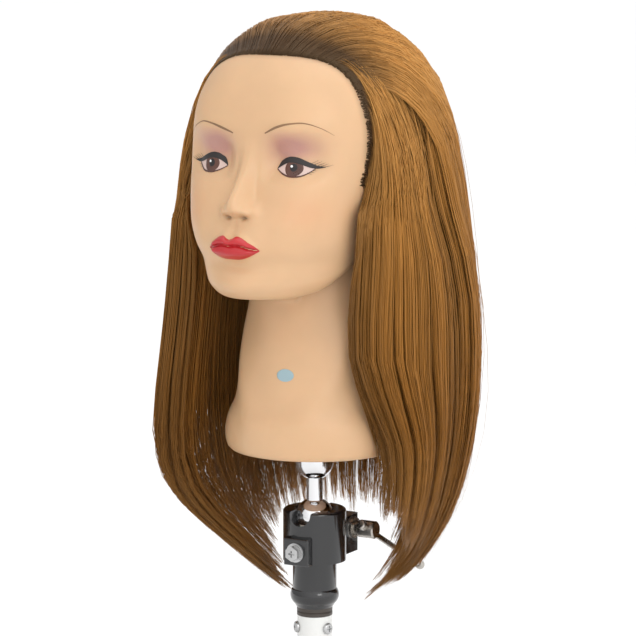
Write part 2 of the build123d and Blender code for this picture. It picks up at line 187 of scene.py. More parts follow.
class Tree:
    """A node tree that is filled by short calls."""

    def __init__(self, tree: bpy.types.NodeTree) -> None:
        """Keeps the tree to fill."""
        self.tree = tree

    def add(self, kind: str, **values) -> bpy.types.Node:
        """Adds a node and sets its properties or input sockets.

        Args:
            kind: the node's type name after ShaderNode.
            **values: properties by name, or inputs by name with spaces as underscores.

        Returns:
            The new node.
        """
        node = self.tree.nodes.new("ShaderNode" + kind)
        for key, value in values.items():
            if hasattr(node, key):
                setattr(node, key, value)
            else:
                self.feed(value, node.inputs[key.replace("_", " ")])
        return node

    def feed(self, value: object, socket: bpy.types.NodeSocket) -> None:
        """Links an output to a socket, or sets the socket's own value."""
        if isinstance(value, bpy.types.NodeSocket):
            self.tree.links.new(value, socket)
        else:
            socket.default_value = value

    def math(self, operation: str, a: object, b: object = 0.0, clamp: bool = False) -> bpy.types.NodeSocket:
        """Returns the result of one Math node."""
        node = self.add("Math", operation=operation, use_clamp=clamp)
        self.feed(a, node.inputs[0])
        self.feed(b, node.inputs[1])
        return node.outputs[0]

    def mix(self, factor: object, a: object, b: object) -> bpy.types.NodeSocket:
        """Returns colour a turned to b by factor."""
        node = self.add("Mix", data_type="RGBA")
        for value, name in ((factor, "Factor_Float"), (a, "A_Color"), (b, "B_Color")):
            self.feed(value, next(s for s in node.inputs if s.identifier == name))
        return next(s for s in node.outputs if s.identifier == "Result_Color")

    def noise(self, scale: float, detail: float, stretch: tuple = (1.0, 1.0, 1.0)) -> bpy.types.NodeSocket:
        """Returns noise in object space, stretched along the axes."""
        place = self.add("TexCoord").outputs["Object"]
        mapping = self.add("Mapping", Vector=place, Scale=stretch)
        return self.add("TexNoise", Vector=mapping.outputs[0], Scale=scale, Detail=detail).outputs[0]

    def ramp(self, factor: object, *stops: tuple) -> bpy.types.NodeSocket:
        """Returns a colour ramp through (place, colour) stops."""
        node = self.add("ValToRGB")
        self.feed(factor, node.inputs[0])
        while len(node.color_ramp.elements) < len(stops):
            node.color_ramp.elements.new(0.5)
        for element, (place, colour) in zip(node.color_ramp.elements, stops):
            element.position = place
            element.color = (*colour, 1.0)
        return node.outputs[0]


def grain_group() -> bpy.types.NodeTree:
    """Builds the shared group for moulding grain and handling marks.

    Inputs are Scale, Roughness and Spread; outputs are Roughness, Height and Mottle.

    Returns:
        The node group, built once.
    """
    group = bpy.data.node_groups.get("moulding_grain")
    if group:
        return group
    group = bpy.data.node_groups.new("moulding_grain", "ShaderNodeTree")
    face = group.interface
    for name, value in (("Scale", 400.0), ("Roughness", 0.4), ("Spread", 0.1)):
        face.new_socket(name, in_out="INPUT", socket_type="NodeSocketFloat").default_value = value
    for name in ("Roughness", "Height", "Mottle"):
        face.new_socket(name, in_out="OUTPUT", socket_type="NodeSocketFloat")
    tree = Tree(group)
    source = group.nodes.new("NodeGroupInput").outputs
    sink = group.nodes.new("NodeGroupOutput").inputs
    place = tree.add("TexCoord").outputs["Object"]
    fine = tree.add("TexNoise", Vector=place, Scale=source["Scale"], Detail=4.0).outputs[0]
    broad = tree.add("TexNoise", Vector=place, Scale=tree.math("MULTIPLY", source["Scale"], 0.06), Detail=3.0)
    mixed = tree.math("ADD", tree.math("MULTIPLY", fine, 0.4), tree.math("MULTIPLY", broad.outputs[0], 0.6))
    swing = tree.math("MULTIPLY", tree.math("SUBTRACT", mixed, 0.5), source["Spread"])
    rough = tree.math("ADD", source["Roughness"], tree.math("MULTIPLY", swing, 2.0), clamp=True)
    tree.feed(rough, sink["Roughness"])
    tree.feed(fine, sink["Height"])
    tree.feed(broad.outputs[0], sink["Mottle"])
    return group


class Grain(Enum):
    """How coarse a moulded or machined surface is: group scale, bump distance in metres."""

    POLISHED = (900.0, 0.000004)
    MOULDED = (520.0, 0.000012)
    VINYL = (700.0, 0.000018)
    TURNED = (300.0, 0.00001)


@dataclass(frozen=True)
class Finish:
    """A finish of one base colour with grain.

    Attributes:
        name: the material's name.
        colour: linear base colour.
        roughness: mean roughness.
        grain: how coarse the surface is.
        metallic: 1 for bare metal.
        spread: how far the roughness varies.
        shade: the colour of the darker mottles, as a share of the base.
        coat: weight of a clear coat.
        subsurface: weight of light passing into the surface.
        brushed: stretch of turning lines along the object's axes, or None.
        glint: the colour of the shine.
    """

    name: str
    colour: tuple
    roughness: float
    grain: Grain
    metallic: float = 0.0
    spread: float = 0.1
    shade: float = 0.85
    coat: float = 0.0
    subsurface: float = 0.0
    brushed: tuple | None = None
    glint: tuple = (1.0, 1.0, 1.0)

    def make(self) -> bpy.types.Material:
        """Returns the material, built the first time it is asked for."""
        name = self.name + "_finish"
        found = bpy.data.materials.get(name)
        if found:
            return found
        material = bpy.data.materials.new(name)
        material.use_nodes = True
        tree = Tree(material.node_tree)
        shader = material.node_tree.nodes["Principled BSDF"]
        scale, depth = self.grain.value
        marks = tree.add("Group", node_tree=grain_group())
        for key, value in (("Scale", scale), ("Roughness", self.roughness), ("Spread", self.spread)):
            marks.inputs[key].default_value = value
        dark = tuple(c * self.shade for c in self.colour)
        mottle = tree.ramp(marks.outputs["Mottle"], (0.35, dark), (0.65, self.colour))
        tree.feed(self.tone(tree, mottle), shader.inputs["Base Color"])
        tree.feed(marks.outputs["Roughness"], shader.inputs["Roughness"])
        height = marks.outputs["Height"]
        if self.brushed:
            height = tree.noise(1.0, 2.0, self.brushed)
        bump = tree.add("Bump", Height=height, Distance=depth, Strength=0.6)
        tree.feed(bump.outputs[0], shader.inputs["Normal"])
        shader.inputs["Metallic"].default_value = self.metallic
        shader.inputs["Coat Weight"].default_value = self.coat
        shader.inputs["Coat Roughness"].default_value = 0.05
        shader.inputs["Specular Tint"].default_value = (*self.glint, 1.0)
        shader.inputs["Subsurface Weight"].default_value = self.subsurface
        shader.inputs["Subsurface Scale"].default_value = 0.004
        return material

    def tone(self, tree: Tree, colour: bpy.types.NodeSocket) -> bpy.types.NodeSocket:
        """Returns the base colour; a finish with painted areas adds them here."""
        return colour


@dataclass(frozen=True)
class SkinFinish(Finish):
    """Vinyl skin with sprayed eye shadow, a blush, the tinted scalp under the hair and painted shade in the
    nostrils in the scalp's colour.
    """

    shadow: tuple = (0.360, 0.150, 0.170)
    blush: tuple = (0.620, 0.290, 0.145)
    # this dark colour also paints the shade in the nostrils
    scalp: tuple = (0.050, 0.023, 0.010)

    def tone(self, tree: Tree, colour: bpy.types.NodeSocket) -> bpy.types.NodeSocket:
        """Returns the skin colour with the sprayed areas and the painted nostril shade that the mesh carries
        as masks.
        """
        spray = tree.noise(900.0, 2.0)
        for mask, paint_colour in (("blush", self.blush), ("shadow", self.shadow), ("scalp", self.scalp)):
            amount = tree.add("Attribute", attribute_name=mask).outputs["Fac"]
            speckle = tree.math("ADD", 0.86, tree.math("MULTIPLY", spray, 0.28))
            grainy = tree.math("MULTIPLY", amount, speckle, clamp=True)
            colour = tree.mix(grainy, colour, (*paint_colour, 1.0))
        return colour


@dataclass(frozen=True)
class HairFinish(Finish):
    """Golden-brown hair: darker at the root, with a painted sheen band high on the strands and painted shade
    on some temple strands; each strand and lock a little different.
    """

    root: tuple = (0.040, 0.019, 0.008)
    # painted sheen: the bright band where the strands run over the head's shoulder
    painted_sheen: tuple = (0.520, 0.255, 0.074)
    middle: tuple = (0.400, 0.180, 0.043)
    low: tuple = (0.270, 0.108, 0.020)
    tip: tuple = (0.400, 0.185, 0.050)

    def tone(self, tree: Tree, colour: bpy.types.NodeSocket) -> bpy.types.NodeSocket:
        """Returns the colour along the strand with its painted sheen band, tinted by the strand's own number
        and its painted shade.
        """
        along = tree.add("Attribute", attribute_name="along").outputs["Fac"]
        tone_and_painted_shade = tree.add("Attribute", attribute_name="tone_and_painted_shade").outputs["Fac"]
        scalp_end = tuple(1.7 * c for c in self.root)
        length = tree.ramp(along, (0.0, self.root), (0.11, scalp_end), (0.27, self.painted_sheen),
                           (0.50, self.middle), (0.82, self.low), (1.0, self.tip))
        streak = tree.noise(1.0, 3.0, (900.0, 900.0, 25.0))
        value = tree.math("ADD", tone_and_painted_shade, tree.math("MULTIPLY", tree.math("SUBTRACT", streak, 0.5), 0.35))
        node = tree.add("HueSaturation", Saturation=1.02, Value=value, Color=length)
        return node.outputs[0]


VINYL_SKIN = SkinFinish("vinyl_skin", (0.625, 0.390, 0.215), 0.45, Grain.VINYL, spread=0.12, shade=0.955,
                        subsurface=0.12)
LIP_PAINT = Finish("lip_paint", (0.470, 0.012, 0.017), 0.30, Grain.POLISHED, shade=0.85, coat=0.15)
EYE_WHITE = Finish("eye_white_paint", (0.62, 0.46, 0.41), 0.35, Grain.POLISHED, shade=0.95)
IRIS_PAINT = Finish("iris_paint", (0.130, 0.048, 0.030), 0.3, Grain.POLISHED, shade=0.55)
PUPIL_PAINT = Finish("pupil_paint", (0.012, 0.008, 0.008), 0.3, Grain.POLISHED)
LIGHT_PAINT = Finish("light_dot_paint", (0.93, 0.92, 0.90), 0.3, Grain.POLISHED, shade=0.98)
LINER_PAINT = Finish("liner_paint", (0.016, 0.011, 0.010), 0.36, Grain.POLISHED)
LASH_LINE_PAINT = Finish("lower_line_paint", (0.090, 0.030, 0.020), 0.4, Grain.POLISHED)
BROW_PAINT = Finish("brow_paint", (0.300, 0.165, 0.080), 0.5, Grain.VINYL, shade=0.7)
LABEL = Finish("plain_label", (0.30, 0.42, 0.46), 0.35, Grain.POLISHED, shade=0.95)
HAIR = HairFinish("golden_brown_hair", (0.45, 0.22, 0.07), 0.38, Grain.POLISHED, spread=0.06,
                  glint=(1.0, 0.78, 0.50))
WHITE_PAINT = Finish("white_tube_paint", (0.72, 0.72, 0.70), 0.3, Grain.MOULDED, shade=0.96, coat=0.3)
ZINC = Finish("zinc_plate", (0.62, 0.62, 0.62), 0.34, Grain.TURNED, metallic=1.0, spread=0.25, shade=0.75)
BROWN_PLASTIC = Finish("ring_plastic", (0.050, 0.038, 0.030), 0.42, Grain.MOULDED)
BLACK_PLASTIC = Finish("black_plastic", (0.008, 0.008, 0.009), 0.16, Grain.MOULDED, spread=0.10, coat=0.5)
NYLON = Finish("nylon", (0.74, 0.71, 0.63), 0.5, Grain.MOULDED, subsurface=0.1)
BRIGHT_STEEL = Finish("bright_steel", (0.50, 0.47, 0.43), 0.28, Grain.TURNED, metallic=1.0, spread=0.2,
                      shade=0.8, brushed=(300.0, 300.0, 2500.0))
CHROME = Finish("chrome", (0.80, 0.80, 0.81), 0.07, Grain.POLISHED, metallic=1.0, spread=0.06, shade=0.92)
PLATE_PLASTIC = Finish("plate_plastic", (0.66, 0.42, 0.28), 0.5, Grain.MOULDED)


# ---------------------------------------------------------------- the head's form

@dataclass(frozen=True)
class HeadForm:
    """Outer form of the vinyl head and neck.

    Attributes:
        half_width: half width of the head by height.
        front: how far forward the middle of the face is, by height, without nose and lips.
        back: how far back the head is, by height.
        widest: the depth of the widest line, by height.
        squareness: exponent of the front's plan shape, by height.
        neck: height, radius across and middle depth of the neck.
        jaw: how low the jaw reaches, by angle from the front in degrees.
        jaw_round: radius of the jaw's lower edge.
    """

    half_width: tuple = ((330, 43), (345, 48.5), (358, 53.5), (374, 59.5), (392, 64), (410, 67.8), (430, 71),
                         (453, 71), (475, 70), (494, 63), (507, 50), (516, 33), (521, 3))
    front: tuple = ((330, -108), (340, -111), (347, -113), (354, -112), (361, -110), (370, -111.5),
                    (384, -109.5), (400, -102), (415, -96), (430, -91.5), (441, -90.5), (453, -91),
                    (465, -89), (475, -85.5), (485, -79.5), (494, -71.5), (503, -59.5), (511, -42),
                    (517, -22), (521, 10))
    back: tuple = ((330, 45), (358, 58), (374, 70), (392, 82), (410, 90), (430, 95), (453, 97), (475, 95),
                   (494, 87), (507, 72), (516, 52), (521, 16))
    widest: tuple = ((215, 0), (300, 0), (334, -16), (374, -14), (410, -10), (430, -6), (453, -2), (494, 6),
                     (521, 13))
    squareness: tuple = ((330, 2.1), (358, 2.3), (374, 2.65), (392, 2.9), (430, 3.0), (453, 2.9), (475, 2.6),
                         (507, 2.1), (521, 2.0))
    neck: tuple = ((215, 61, 0), (217, 63, 0), (220, 64, 0), (234, 64, 0), (241, 62, 0), (249, 58.4, 0.5),
                   (265, 55.3, 1), (290, 51.5, 2), (312, 49.5, 5), (345, 50.5, 9), (400, 52, 16),
                   (521, 5, 14))
    jaw: tuple = ((0, 335), (25, 335.5), (40, 337), (55, 341), (70, 348), (90, 362), (110, 377), (180, 384))
    jaw_round: float = 12.0

    def section(self, angle: np.ndarray, z: np.ndarray) -> tuple:
        """Gives the head's plain outline without features.

        Args:
            angle: angle from the front towards the left side, radians.
            z: heights.

        Returns:
            The x and y of the outline.
        """
        middle = through(self.widest, z)
        across, along = np.sin(angle), np.cos(angle)
        reach = np.where(along > 0, middle - through(self.front, z), through(self.back, z) - middle)
        power = np.where(along > 0, through(self.squareness, z), 2.1)
        wide = through(self.half_width, z)
        head = (np.abs(across / wide) ** power + np.abs(along / reach) ** power) ** (-1.0 / power)
        low = through(self.jaw, np.degrees(np.abs(angle)))
        under = np.clip((low + self.jaw_round - z) / self.jaw_round, 0.0, 1.0)
        head = head - self.jaw_round * (1.0 - np.sqrt(1.0 - under ** 2)) - 7.0 * np.clip(low - z, 0.0, 20.0)
        radius, shift = through([r[:2] for r in self.neck], z), through([(r[0], r[2]) for r in self.neck], z)
        offset = middle - shift
        root = np.sqrt(np.clip(radius ** 2 - (offset * across) ** 2, 0.0, None))
        neck = offset * along + root
        size = soft_max(head, neck, 7.0)
        size = size + self.neck_muscle(angle, z)
        return size * across, middle - size * along

    def neck_muscle(self, angle: np.ndarray, z: np.ndarray) -> np.ndarray:
        """Returns the soft ridge that runs from behind the jaw down to the front of the plinth."""
        run = np.clip((z - 236.0) / 90.0, 0.0, 1.0)
        ridge = np.exp(-((np.abs(angle) - (0.25 + 1.15 * run)) / 0.24) ** 2)
        return 2.6 * ridge * smoothstep(222, 244, z) * (1.0 - smoothstep(300, 336, z))

    def features(self, x: np.ndarray, z: np.ndarray) -> np.ndarray:
        """Gives how far the face's features stand proud of the plain outline.

        Args:
            x: sideways places.
            z: heights.

        Returns:
            Millimetres towards the front.
        """
        side = np.abs(x)
        ridge = through(((384, 0), (389, 0.6), (392.5, 2.8), (395.5, 8.2), (398.5, 13.4), (402, 15.6),
                         (405, 16.0), (409, 14.6), (414, 11.8), (422, 7.8), (430, 4.6), (438, 2.4),
                         (447, 0.6), (455, 0)), z)
        breadth = through(((384, 9), (392, 13), (397, 14.2), (402, 12.6), (408, 10.8), (418, 9.6), (432, 9.5),
                           (445, 12)), z)
        nose = ridge * (1.0 - smoothstep(0.10, 1.0, side / breadth))
        wings = 6.0 * hill(side, z, 10.6, 398.2, 4.2, 4.4)
        nostrils = -3.4 * hill(side, z, 6.0, 393.6, 3.0, 1.6)
        plateau = smoothstep(9.0, 20.0, side) * (1.0 - smoothstep(44.0, 62.0, side))
        plateau = plateau * smoothstep(414.0, 427.0, z) * (1.0 - smoothstep(434.0, 453.0, z))
        sockets = -5.6 * plateau - 2.2 * twin_hill(x, z, 20.0, 433, 6.5, 8.0)
        eyes = 2.4 * twin_hill(x, z, 33.5, 429.5, 11.5, 8.5)
        brows = 1.6 * twin_hill(x, z, 34, 457, 18, 6.5)
        cheeks = 1.6 * twin_hill(x, z, 38, 404, 17, 15) - 1.0 * twin_hill(x, z, 44, 372, 12, 16)
        muzzle = 4.8 * hill(x, z, 0, 377, 17, 12)
        groove = -0.9 * hill(x, z, 0, 385.5, 2.6, 5.0)
        chin = 2.0 * hill(x, z, 0, 345.5, 12, 8) - 1.6 * hill(x, z, 0, 360.5, 13, 4.0)
        folds = -0.8 * twin_hill(x, z, 24, 385, 6, 9)
        return nose + wings + nostrils + sockets + eyes + brows + cheeks + muzzle + groove + chin + folds + \
            self.lips(x, z)

    def lip_edges(self, x: np.ndarray) -> tuple:
        """Gives the lips' upper edge, closing line and lower edge across the mouth.

        Args:
            x: sideways places.

        Returns:
            Three heights.
        """
        side = np.abs(x)
        upper = through(((0, 379.2), (2, 379.9), (5.2, 381.6), (8.5, 380.9), (13.5, 377.8), (17.5, 374.8),
                         (20, 372.0)), side)
        line = through(((0, 374.6), (4, 375.2), (10, 374.6), (16, 372.7), (20, 371.7)), side)
        lower = through(((0, 364.9), (6, 365.1), (11, 366.4), (16, 368.8), (20, 371.4)), side)
        return upper, line, lower

    def lips(self, x: np.ndarray, z: np.ndarray) -> np.ndarray:
        """Returns the two lips' fullness, with the line between them."""
        upper, line, lower = self.lip_edges(x)
        inside = 1.0 - smoothstep(13.0, 21.0, np.abs(x))
        top = np.clip((z - line) / np.maximum(upper - line, 0.5), -1.0, 2.0)
        bottom = np.clip((line - z) / np.maximum(line - lower, 0.5), -1.0, 2.0)
        full = 4.6 * np.exp(-((top - 0.55) / 0.55) ** 2) + 4.8 * np.exp(-((bottom - 0.50) / 0.48) ** 2)
        seam = -1.6 * np.exp(-((z - line) / 0.9) ** 2)
        return full * inside + seam * (1.0 - smoothstep(17.0, 21.0, np.abs(x)))

    def face(self, x: np.ndarray, z: np.ndarray, lift: float = 0.0) -> np.ndarray:
        """Gives points on the face's surface.

        Args:
            x: sideways places.
            z: heights.
            lift: how far in front of the skin.

        Returns:
            The points, in millimetres.
        """
        middle = through(self.widest, z)
        power = through(self.squareness, z)
        inside = np.clip(1.0 - np.abs(x / through(self.half_width, z)) ** power, 0.0, 1.0)
        plain = middle - (middle - through(self.front, z)) * inside ** (1.0 / power)
        return np.stack([x, plain - self.features(x, z) - lift, z], axis=-1)

    def surface(self, angle: np.ndarray, z: np.ndarray) -> np.ndarray:
        """Returns points of the whole skin for angles and heights."""
        x, y = self.section(angle, z)
        ahead = smoothstep(0.15, 0.45, np.cos(angle)) * smoothstep(334, 342, z)
        return np.stack([x, y - self.features(x, z) * ahead, z], axis=-1)


@dataclass(frozen=True)
class Hairline:
    """The arch where the hair starts: half width, foot and height above the foot."""

    half_width: float = 68.3
    foot: float = 430.0
    rise: float = 71.5
    power: float = 3.1

    def inside(self, points: np.ndarray) -> np.ndarray:
        """Gives how far points are inside the face's bare area.

        Args:
            points: places on the head.

        Returns:
            Over 0 inside the bare area, under 0 under the hair, about in millimetres.
        """
        x, y, z = points[..., 0], points[..., 1], points[..., 2]
        high = np.clip((z - self.foot) / self.rise, 0.0, None)
        arch = (np.abs(x / self.half_width) ** self.power + high ** self.power) ** (1.0 / self.power)
        bare = (1.0 - arch) * self.half_width
        sides = -y - 49.0 + 0.22 * np.clip(430.0 - z, 0.0, 60.0)
        below = z < self.foot
        return np.where(below, sides, np.minimum(bare, -y - 10.0))


class Head:
    """The vinyl skin with its painted face."""

    def __init__(self, form: HeadForm, hairline: Hairline) -> None:
        """Keeps the head's form and hairline."""
        self.form = form
        self.hairline = hairline

    def build(self) -> None:
        """Makes the skin and every painted area."""
        self.skin()
        self.eyes()
        self.brows()
        self.mouth()
        self.label()

    def skin(self) -> None:
        """Makes the skin from plinth to crown with its sprayed colours and the painted shade in the nostrils.
        """
        front = np.linspace(-64, 64, 250)
        rear = np.linspace(64, 296, 116)[1:-1]
        angle = np.radians(np.concatenate([front, rear]))
        angle = np.where(angle > math.pi, angle - 2 * math.pi, angle)
        heights = np.concatenate([np.array([215.0, 215.8, 217.0, 219.0, 221.5]), np.linspace(224, 330, 38),
                                  np.linspace(331, 345, 22), np.linspace(345.7, 462, 148),
                                  np.linspace(464, 520.6, 30)])
        points = self.form.surface(angle[None, :], heights[:, None] + 0 * angle[None, :])
        rim = points[0] * [1, 1, 0]
        rim *= 56.3 / np.linalg.norm(rim, axis=1, keepdims=True)
        inner = [rim + [0, 0, 215.4], rim + [0, 0, 221.6]]
        points = np.concatenate([[inner[1]], [inner[0]], points])
        skin = grid_mesh("skin", points, wrap=True, caps=True)
        x, z = points[..., 0], points[..., 2]
        facing = smoothstep(-20.0, -45.0, points[..., 1])
        lid = twin_hill(x, z, 34, 441.5, 15, 9.5) + 0.55 * twin_hill(x, z, 24, 440, 9, 11)
        shadow = np.clip(lid, 0, 1) * (1.0 - smoothstep(450, 457, z)) * facing * 0.66
        blush = 0.35 * twin_hill(x, z, 45, 398, 16, 14) * facing
        scalp = smoothstep(1.5, -3.0, self.hairline.inside(points)) * smoothstep(375, 395, z)
        # painted shade: the nostrils are darkened through the scalp mask
        scalp = np.maximum(scalp, 0.55 * twin_hill(x, z, 6.2, 393.4, 2.6, 1.3) * facing)
        for name, mask in (("shadow", shadow), ("blush", blush), ("scalp", scalp)):
            paint(skin, name, mask)
        self.place(skin, VINYL_SKIN, "vinyl_skin")
        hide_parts("head_skin")
        self.shell = skin

    def place(self, piece: bpy.types.Object, finish: Finish, slot: str = "vinyl_skin") -> None:
        """Puts a finish on a piece and lets it ride with the head."""
        dress(piece, finish.make())
        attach(piece, "head")
        LOG.info("head piece %s: %d vertices", piece.name, len(piece.data.vertices))

    def film(self, name: str, x: np.ndarray, z: np.ndarray, lift: float, finish: Finish) -> bpy.types.Object:
        """Lays a thin closed film of paint on the face.

        Args:
            name: the piece's name.
            x: a grid of sideways places, rows by columns.
            z: the grid's heights.
            lift: how far the film's top stands off the skin.
            finish: the film's finish.

        Returns:
            The film.
        """
        top = self.form.face(x, z, lift)
        under = self.form.face(x, z, lift - 0.12)
        loop = np.concatenate([top, under[:, ::-1]], axis=1)
        piece = grid_mesh(name, loop, wrap=True, caps=True)
        self.place(piece, finish)
        return piece

    def band(self, name: str, xs: np.ndarray, low: np.ndarray, high: np.ndarray, lift: float, finish: Finish,
             rows: int = 9) -> None:
        """Lays a film between two curves over the same sideways places."""
        share = np.linspace(0, 1, rows)[None, :]
        self.film(name, xs[:, None] + 0 * share, low[:, None] + (high - low)[:, None] * share, lift, finish)

    def disc(self, name: str, x: float, z: float, wide: float, high: float, lift: float, finish: Finish,
             roof: tuple | None = None) -> None:
        """Lays an oval film, cut off above by the roof curve where one is given."""
        turn = np.linspace(math.pi / 2, -math.pi / 2, 24)
        half = wide * np.cos(turn)[:, None]
        level = z + high * np.sin(turn)[:, None] + 0 * half
        if roof:
            level = np.minimum(level, through(roof, np.abs(x) + 0 * level))
        share = np.linspace(-1, 1, 13)[None, :]
        self.film(name, x + half * share, level + 0 * share, lift, finish)

    def eyes(self) -> None:
        """Paints both eyes."""
        lower_lid = ((20.5, 426.2), (24, 424.2), (29.3, 422.4), (34.5, 421.9), (39.5, 422.6), (43.5, 424.8),
                     (46, 427.0))
        upper_lid = ((20.5, 426.5), (23, 428.2), (28.8, 430.9), (33.4, 431.0), (38, 429.8), (43.6, 427.8),
                     (46, 427.3))
        liner_top = ((20.0, 426.6), (21.6, 430.2), (25.3, 433.4), (30.9, 435.1), (35, 434.6), (40.8, 432.2),
                     (46.5, 429.4), (52.5, 428.2))
        wing_low = ((20.0, 426.2), (23, 428.2), (28.8, 430.9), (33.4, 431.0), (38, 429.8), (43.6, 427.6),
                    (47, 427.0), (52.5, 427.9))
        for side, label in ((1, "left"), (-1, "right")):
            xs = np.linspace(20.5, 46, 40)
            self.band(f"eye_white_{label}", xs * side, through(lower_lid, xs), through(upper_lid, xs), 0.16,
                      EYE_WHITE)
            self.disc(f"iris_{label}", 33.0 * side, 427.2, 6.4, 5.6, 0.24, IRIS_PAINT)
            self.disc(f"pupil_{label}", 33.0 * side, 427.7, 2.6, 2.7, 0.30, PUPIL_PAINT)
            self.disc(f"eye_light_{label}", 33.0 * side - 1.4, 428.6, 0.85, 0.85, 0.50, LIGHT_PAINT)
            xs = np.linspace(20.0, 52.5, 56)
            self.band(f"upper_liner_{label}", xs * side, through(wing_low, xs), through(liner_top, xs), 0.38,
                      LINER_PAINT)
            xs = np.linspace(20.3, 46.5, 40)
            line = through(lower_lid, xs)
            thick = 0.45 + 0.35 * np.sin(np.linspace(0, math.pi, 40))
            self.band(f"lower_liner_{label}", xs * side, line - thick, line + 0.15, 0.42, LASH_LINE_PAINT, 4)
            self.lashes(label, side)

    def lashes(self, label: str, side: int) -> None:
        """Paints the short lash strokes at the outer corner."""
        rng = np.random.default_rng(SEED + side)
        tops = [(43.5 + 2.1 * i, 430.4 - 0.55 * i, 4.2 + 0.2 * i, 2.1 - 0.3 * i) for i in range(5)]
        lows = [(42.0 + 1.5 * i, 424.2 + 0.9 * i, 2.8, -1.3 + 0.2 * i) for i in range(3)]
        for number, (x, z, run, rise) in enumerate(tops + lows):
            share = np.linspace(0, 1, 8)
            xs = x + run * share * (0.9 + 0.2 * rng.random())
            zs = z + rise * share + 0.5 * share ** 2
            thick = 0.13 * (1.0 - share) + 0.03
            self.band(f"lash_{label}_{number}", xs * side, zs - thick, zs + thick, 0.46, LINER_PAINT, 3)

    def brows(self) -> None:
        """Paints the thin arched brows with fine strokes along them."""
        arcs = {1: ((12.9, 450.9), (23, 455.8), (33, 458.2), (41, 458.4), (47.5, 456.3), (52.8, 453.3),
                    (57.4, 449.3)),
                -1: ((12.9, 449.9), (20.7, 452.7), (31.3, 455.7), (40.5, 456.3), (47.2, 453.9), (52.8, 450.9),
                     (57, 447.5))}
        rng = np.random.default_rng(SEED)
        for side, label in ((1, "left"), (-1, "right")):
            xs = np.linspace(12.9, 57, 60)
            mid = through(arcs[side], xs)
            thick = through(((12.9, 0.45), (17, 0.75), (34, 0.55), (46, 0.3), (57, 0.08)), xs)
            self.band(f"brow_{label}", xs * side, mid - thick, mid + thick, 0.14, BROW_PAINT, 4)
            for number, x in enumerate(np.linspace(13, 50, 22)):
                share = np.linspace(0, 1, 5)
                run = x + (2.6 + rng.random()) * share
                slope = through(arcs[side], run) + (rng.random() - 0.35) * 1.3 * share
                self.band(f"brow_stroke_{label}_{number}", run * side, slope - 0.09 * (1.1 - share),
                          slope + 0.09 * (1.1 - share), 0.2, BROW_PAINT, 3)

    def mouth(self) -> None:
        """Paints the lips."""
        xs = 20.0 * np.sin(np.linspace(-math.pi / 2, math.pi / 2, 130))
        upper, line, lower = self.form.lip_edges(xs)
        self.band("lip_paint_upper", xs, line - 0.25, upper, 0.30, LIP_PAINT, 40)
        self.band("lip_paint_lower", xs, lower, line + 0.25, 0.24, LIP_PAINT, 40)

    def label(self) -> None:
        """Lays the plain oval label on the front of the neck."""
        turn = np.linspace(math.pi / 2, -math.pi / 2, 24)
        share = np.linspace(-1, 1, 13)[None, :]
        angle = np.radians(6.0) + 0.115 * np.cos(turn)[:, None] * share
        level = 275.0 + 4.4 * np.sin(turn)[:, None] + 0 * share
        middle = self.form.surface(angle, level)
        out = middle * [1, 1, 0]
        out /= np.linalg.norm(out, axis=-1, keepdims=True)
        loop = np.concatenate([middle + out * 0.2, (middle + out * 0.02)[:, ::-1]], axis=1)
        self.place(grid_mesh("neck_label", loop, wrap=True, caps=True), LABEL)


# ---------------------------------------------------------------- hair

class Reach:
    """How far a closed surface lies from a centre, in every direction."""

    ROWS = 91
    COLUMNS = 121

    def __init__(self, obj: bpy.types.Object, centre: tuple) -> None:
        """Measures the surface once on a grid of directions.

        Args:
            obj: the surface.
            centre: the point inside it that distances count from, in millimetres.
        """
        corners = [v.co for v in obj.data.vertices]
        tree = BVHTree.FromPolygons(corners, [p.vertices for p in obj.data.polygons])
        start = Vector(centre) * MM
        self.table = np.zeros((self.ROWS, self.COLUMNS))
        for row, tilt in enumerate(np.linspace(0.0, math.pi, self.ROWS)):
            for column, turn in enumerate(np.linspace(-math.pi, math.pi, self.COLUMNS)):
                level = math.sin(tilt)
                way = Vector((math.sin(turn) * level, -math.cos(turn) * level, math.cos(tilt)))
                distance = tree.ray_cast(start, way)[3]
                self.table[row, column] = distance / MM if distance else 0.0

    def __call__(self, way: np.ndarray) -> np.ndarray:
        """Returns the distances in unit directions, in millimetres."""
        tilt = np.arccos(np.clip(way[..., 2], -1, 1)) / math.pi * (self.ROWS - 1)
        turn = (np.arctan2(way[..., 0], -way[..., 1]) + math.pi) / (2 * math.pi) * (self.COLUMNS - 1)
        row = np.minimum(tilt.astype(int), self.ROWS - 2)
        column = np.minimum(turn.astype(int), self.COLUMNS - 2)
        u, v = tilt - row, turn - column
        top = self.table[row, column] * (1 - v) + self.table[row, column + 1] * v
        low = self.table[row + 1, column] * (1 - v) + self.table[row + 1, column + 1] * v
        return top * (1 - u) + low * u


